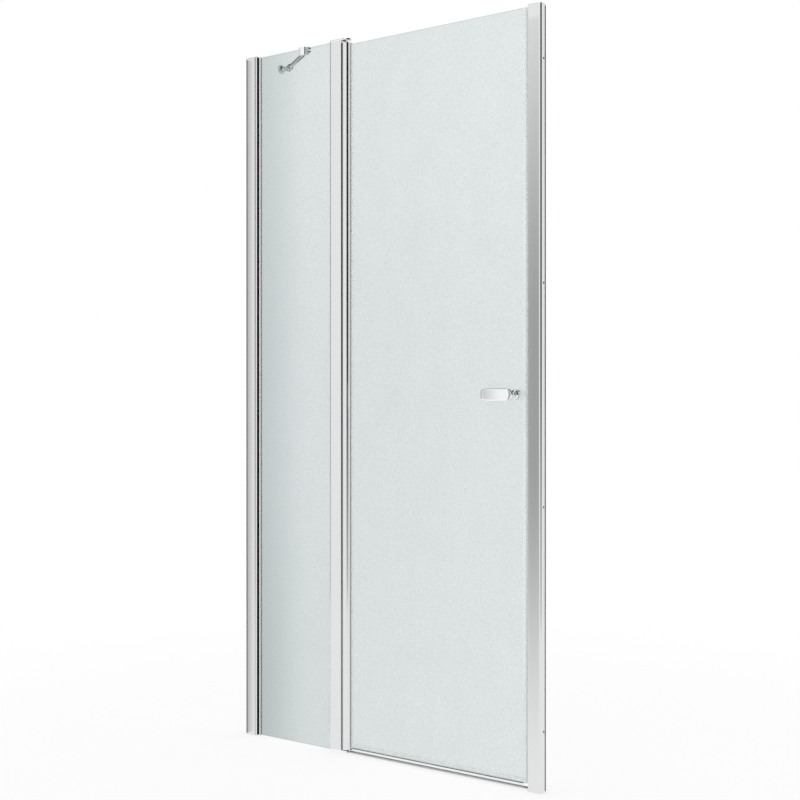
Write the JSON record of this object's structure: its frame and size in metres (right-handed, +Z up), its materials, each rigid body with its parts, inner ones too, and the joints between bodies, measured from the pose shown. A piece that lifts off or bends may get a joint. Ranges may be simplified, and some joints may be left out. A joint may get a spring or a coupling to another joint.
{
  "type": "shower door",
  "caption": "Framed recess shower door: fixed glass pane on a hinge post, glass leaf that lifts as it opens outwards, magnet strike, lever-plate handle and a wall brace.",
  "frame": {"origin": "on the tray under the glass plane, half-way between the two walls", "axes": "+X along the door to the right as seen from outside, +Y into the shower, +Z up"},
  "size_m": [1, 0.192, 1.96],
  "materials": {
    "bright_aluminium": "polished and anodised bright",
    "chrome": "bright chrome plating",
    "clear_glass": "clear toughened safety glass, ground edges",
    "clear_seal": "clear flexible seal",
    "black_gasket": "black glazing rubber with a pale lip",
    "magnet_rubber": "pale matt magnetic rubber",
    "pin_steel": "turned stainless steel",
    "bearing_plastic": "moulded bearing plastic"
  },
  "bodies": {
    "frame": {"left_wall_channel": "bright_aluminium", "left_channel_cap": "chrome", "glazing_profile": "bright_aluminium", "left_lock_screws": "pin_steel", "fixed_glass": "clear_glass", "glazing_gasket": "black_gasket", "post_gasket": "clear_seal", "hinge_post": "bright_aluminium", "hinge_top_cap": "chrome", "cap_screws": "pin_steel", "top_pivot_pin": "pin_steel", "hinge_foot": "chrome", "foot_screws": "pin_steel", "lower_cam": "bearing_plastic", "threshold_strip": "bright_aluminium", "right_wall_channel": "bright_aluminium", "right_channel_cap": "chrome", "strike_profile": "bright_aluminium", "right_lock_screws": "pin_steel", "strike_magnet_strip": "magnet_rubber", "brace_rosette": "chrome", "brace_wall_pin": "pin_steel", "brace_rod": "chrome", "brace_glass_pin": "pin_steel", "brace_clamp": "chrome", "clamp_pad": "bearing_plastic", "clamp_screw": "pin_steel"},
    "pivot": {"bottom_pivot_pin": "pin_steel"},
    "door": {"door_stile": "bright_aluminium", "upper_cam": "bearing_plastic", "top_bush": "bearing_plastic", "door_glass": "clear_glass", "door_gasket": "clear_seal", "door_bottom_seal": "clear_seal", "door_magnet_seal": "clear_seal", "door_magnet_strip": "magnet_rubber", "handle_grip": "chrome", "handle_stem": "chrome", "handle_washers": "bearing_plastic", "handle_sleeve": "bearing_plastic", "handle_bolt": "pin_steel", "inner_knob": "chrome"}
  },
  "joints": [
    {"name": "door_swing", "type": "hinge", "parent": "frame", "child": "pivot", "pos_m": [-0.131, 0, 0], "axis": [0, 0, -1], "range_deg": [0, 95]},
    {"name": "door_lift", "type": "slide", "parent": "pivot", "child": "door", "axis": [0, 0, 1], "range_m": [0, 0.005]}
  ],
  "couplings": [
    {"joint": "door_lift", "follows": "door_swing", "m_per_rad": 0.0030156}
  ]
}
